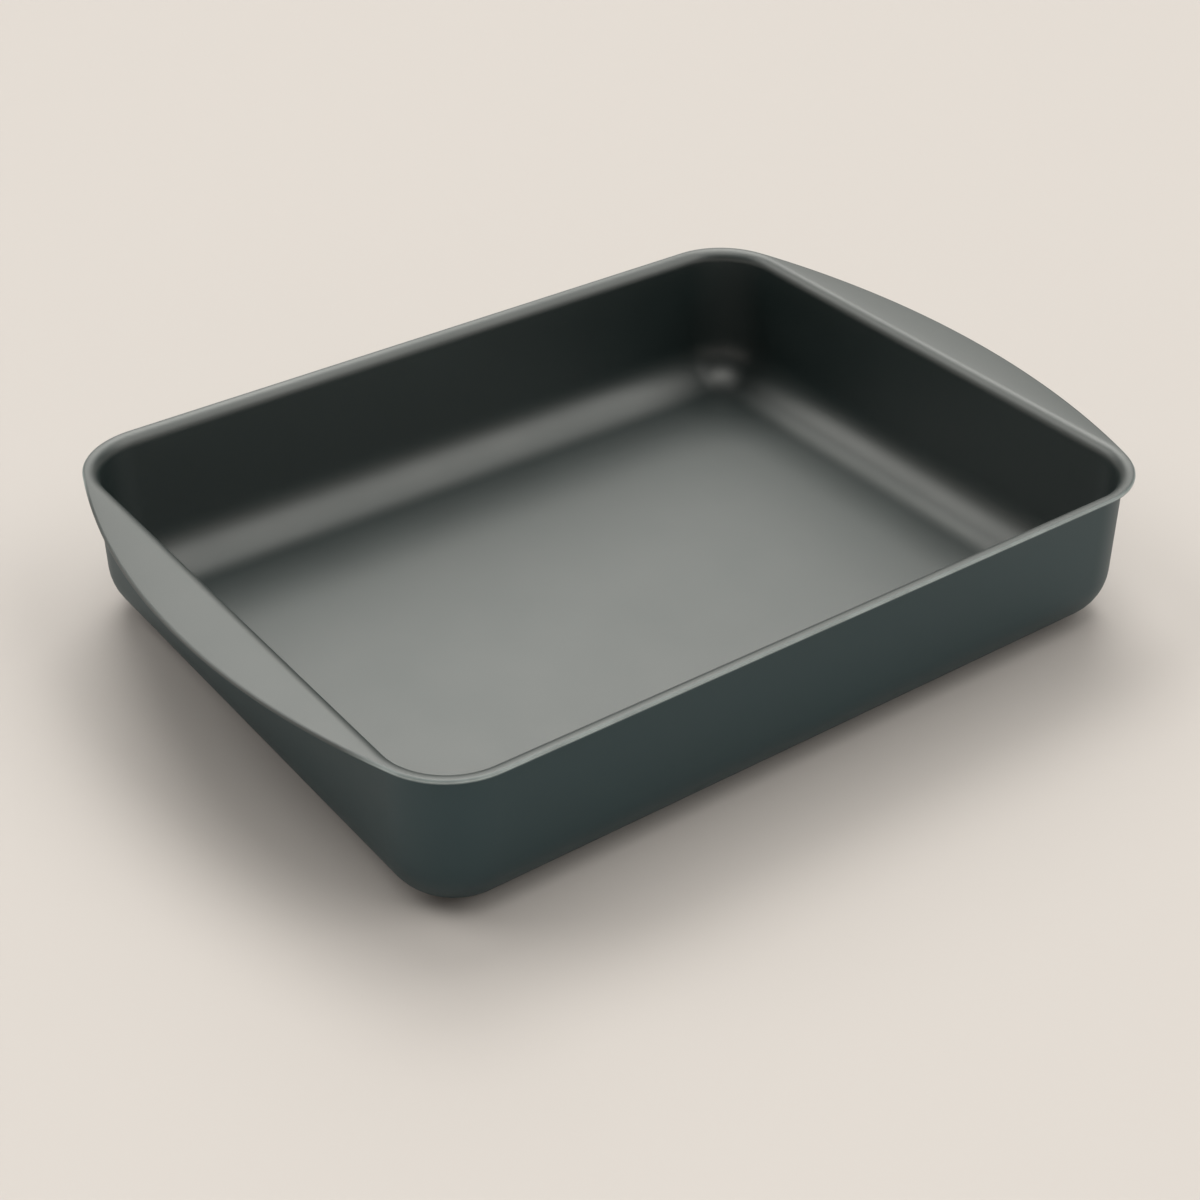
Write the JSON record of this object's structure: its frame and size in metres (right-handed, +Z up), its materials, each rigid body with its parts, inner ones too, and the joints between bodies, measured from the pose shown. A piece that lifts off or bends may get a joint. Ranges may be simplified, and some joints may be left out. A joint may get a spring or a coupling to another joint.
{
  "type": "roasting pan",
  "caption": "Rectangular roasting pan pressed from coated aluminium sheet, with round corners and a flared rim that widens into an ear handle at each end.",
  "frame": {"origin": "middle of the base, on the surface the pan stands on", "axes": "+X along the pan from ear to ear, +Y across it, +Z up out of the open top"},
  "size_m": [0.42, 0.298, 0.0725],
  "materials": {
    "aluminium_sheet": "bare pressed sheet, seen only where the coats wear at the edge of the rim",
    "lining": "satin green-black non-stick coating with a fine sprayed grain",
    "coat": "satin green-black heat-resistant coating with a fine sprayed grain"
  },
  "bodies": {
    "root": {"pan_body": "aluminium_sheet", "nonstick_lining": "lining", "outer_coat": "coat", "base_coat": "coat"}
  },
  "joints": []
}
